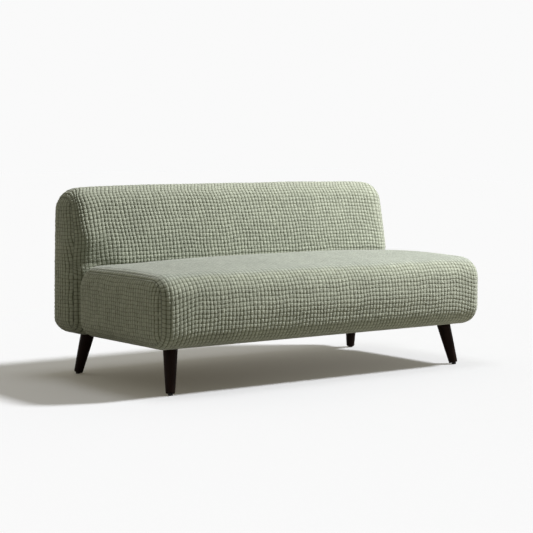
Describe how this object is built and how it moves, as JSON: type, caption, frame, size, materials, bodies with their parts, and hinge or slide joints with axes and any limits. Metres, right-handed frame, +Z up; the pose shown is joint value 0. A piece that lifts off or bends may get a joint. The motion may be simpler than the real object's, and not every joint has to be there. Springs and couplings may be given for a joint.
{
  "type": "armless sofa",
  "caption": "Armless two-seat sofa with a padded seat block, a lower leaning back block in puckered fabric, and splayed tapered wooden legs.",
  "frame": {"origin": "on the floor, under the middle of the sofa's bounding box", "axes": "+X to the right along the sofa's length, -Y towards the front of the seat, +Z up"},
  "size_m": [1.5, 0.789, 0.703],
  "materials": {
    "cover_fabric": "puckered stretch weave in small square puffs, matt",
    "soft_foam": "soft polyurethane foam with a fibre face",
    "firm_foam": "firm polyurethane foam, fine open cells",
    "frame_timber": "planed softwood, unfinished",
    "plywood": "birch plywood, unfinished",
    "webbing": "woven elastic webbing",
    "dust_cloth": "thin black non-woven cloth",
    "leg_wood": "turned hardwood with a near-black stain and satin lacquer",
    "glide_plastic": "moulded black plastic",
    "zinc_steel": "zinc-plated steel"
  },
  "bodies": {
    "root": {"seat_cover": "cover_fabric", "seat_foam_wrap": "soft_foam", "seat_foam_slab": "firm_foam", "seat_front_rail": "frame_timber", "seat_rear_rail": "frame_timber", "seat_left_rail": "frame_timber", "seat_right_rail": "frame_timber", "seat_cross_rail_left": "frame_timber", "seat_cross_rail_right": "frame_timber", "seat_corner_blocks": "frame_timber", "seat_joining_blocks": "frame_timber", "seat_cross_webbing": "webbing", "seat_long_webbing": "webbing", "seat_frame_screws": "zinc_steel", "seat_dust_cloth": "dust_cloth", "back_cover": "cover_fabric", "back_foam_wrap": "soft_foam", "back_foam_pad": "firm_foam", "back_left_rib": "plywood", "back_right_rib": "plywood", "back_inner_ribs": "plywood", "back_bottom_board": "frame_timber", "back_lower_rail": "frame_timber", "back_middle_rail": "frame_timber", "back_top_rail": "frame_timber", "back_rear_panel": "plywood", "back_webbing": "webbing", "back_leg_blocks": "frame_timber", "back_joining_blocks": "frame_timber", "back_frame_screws": "zinc_steel", "back_dust_cloth": "dust_cloth", "joining_bolts": "zinc_steel", "joining_washers": "zinc_steel", "joining_nuts": "zinc_steel", "leg_front_left": "leg_wood", "leg_front_right": "leg_wood", "leg_rear_left": "leg_wood", "leg_rear_right": "leg_wood", "glide_front_left": "glide_plastic", "glide_front_right": "glide_plastic", "glide_rear_left": "glide_plastic", "glide_rear_right": "glide_plastic", "glide_nails": "zinc_steel", "leg_bolts": "zinc_steel", "leg_inserts": "zinc_steel"}
  },
  "joints": []
}
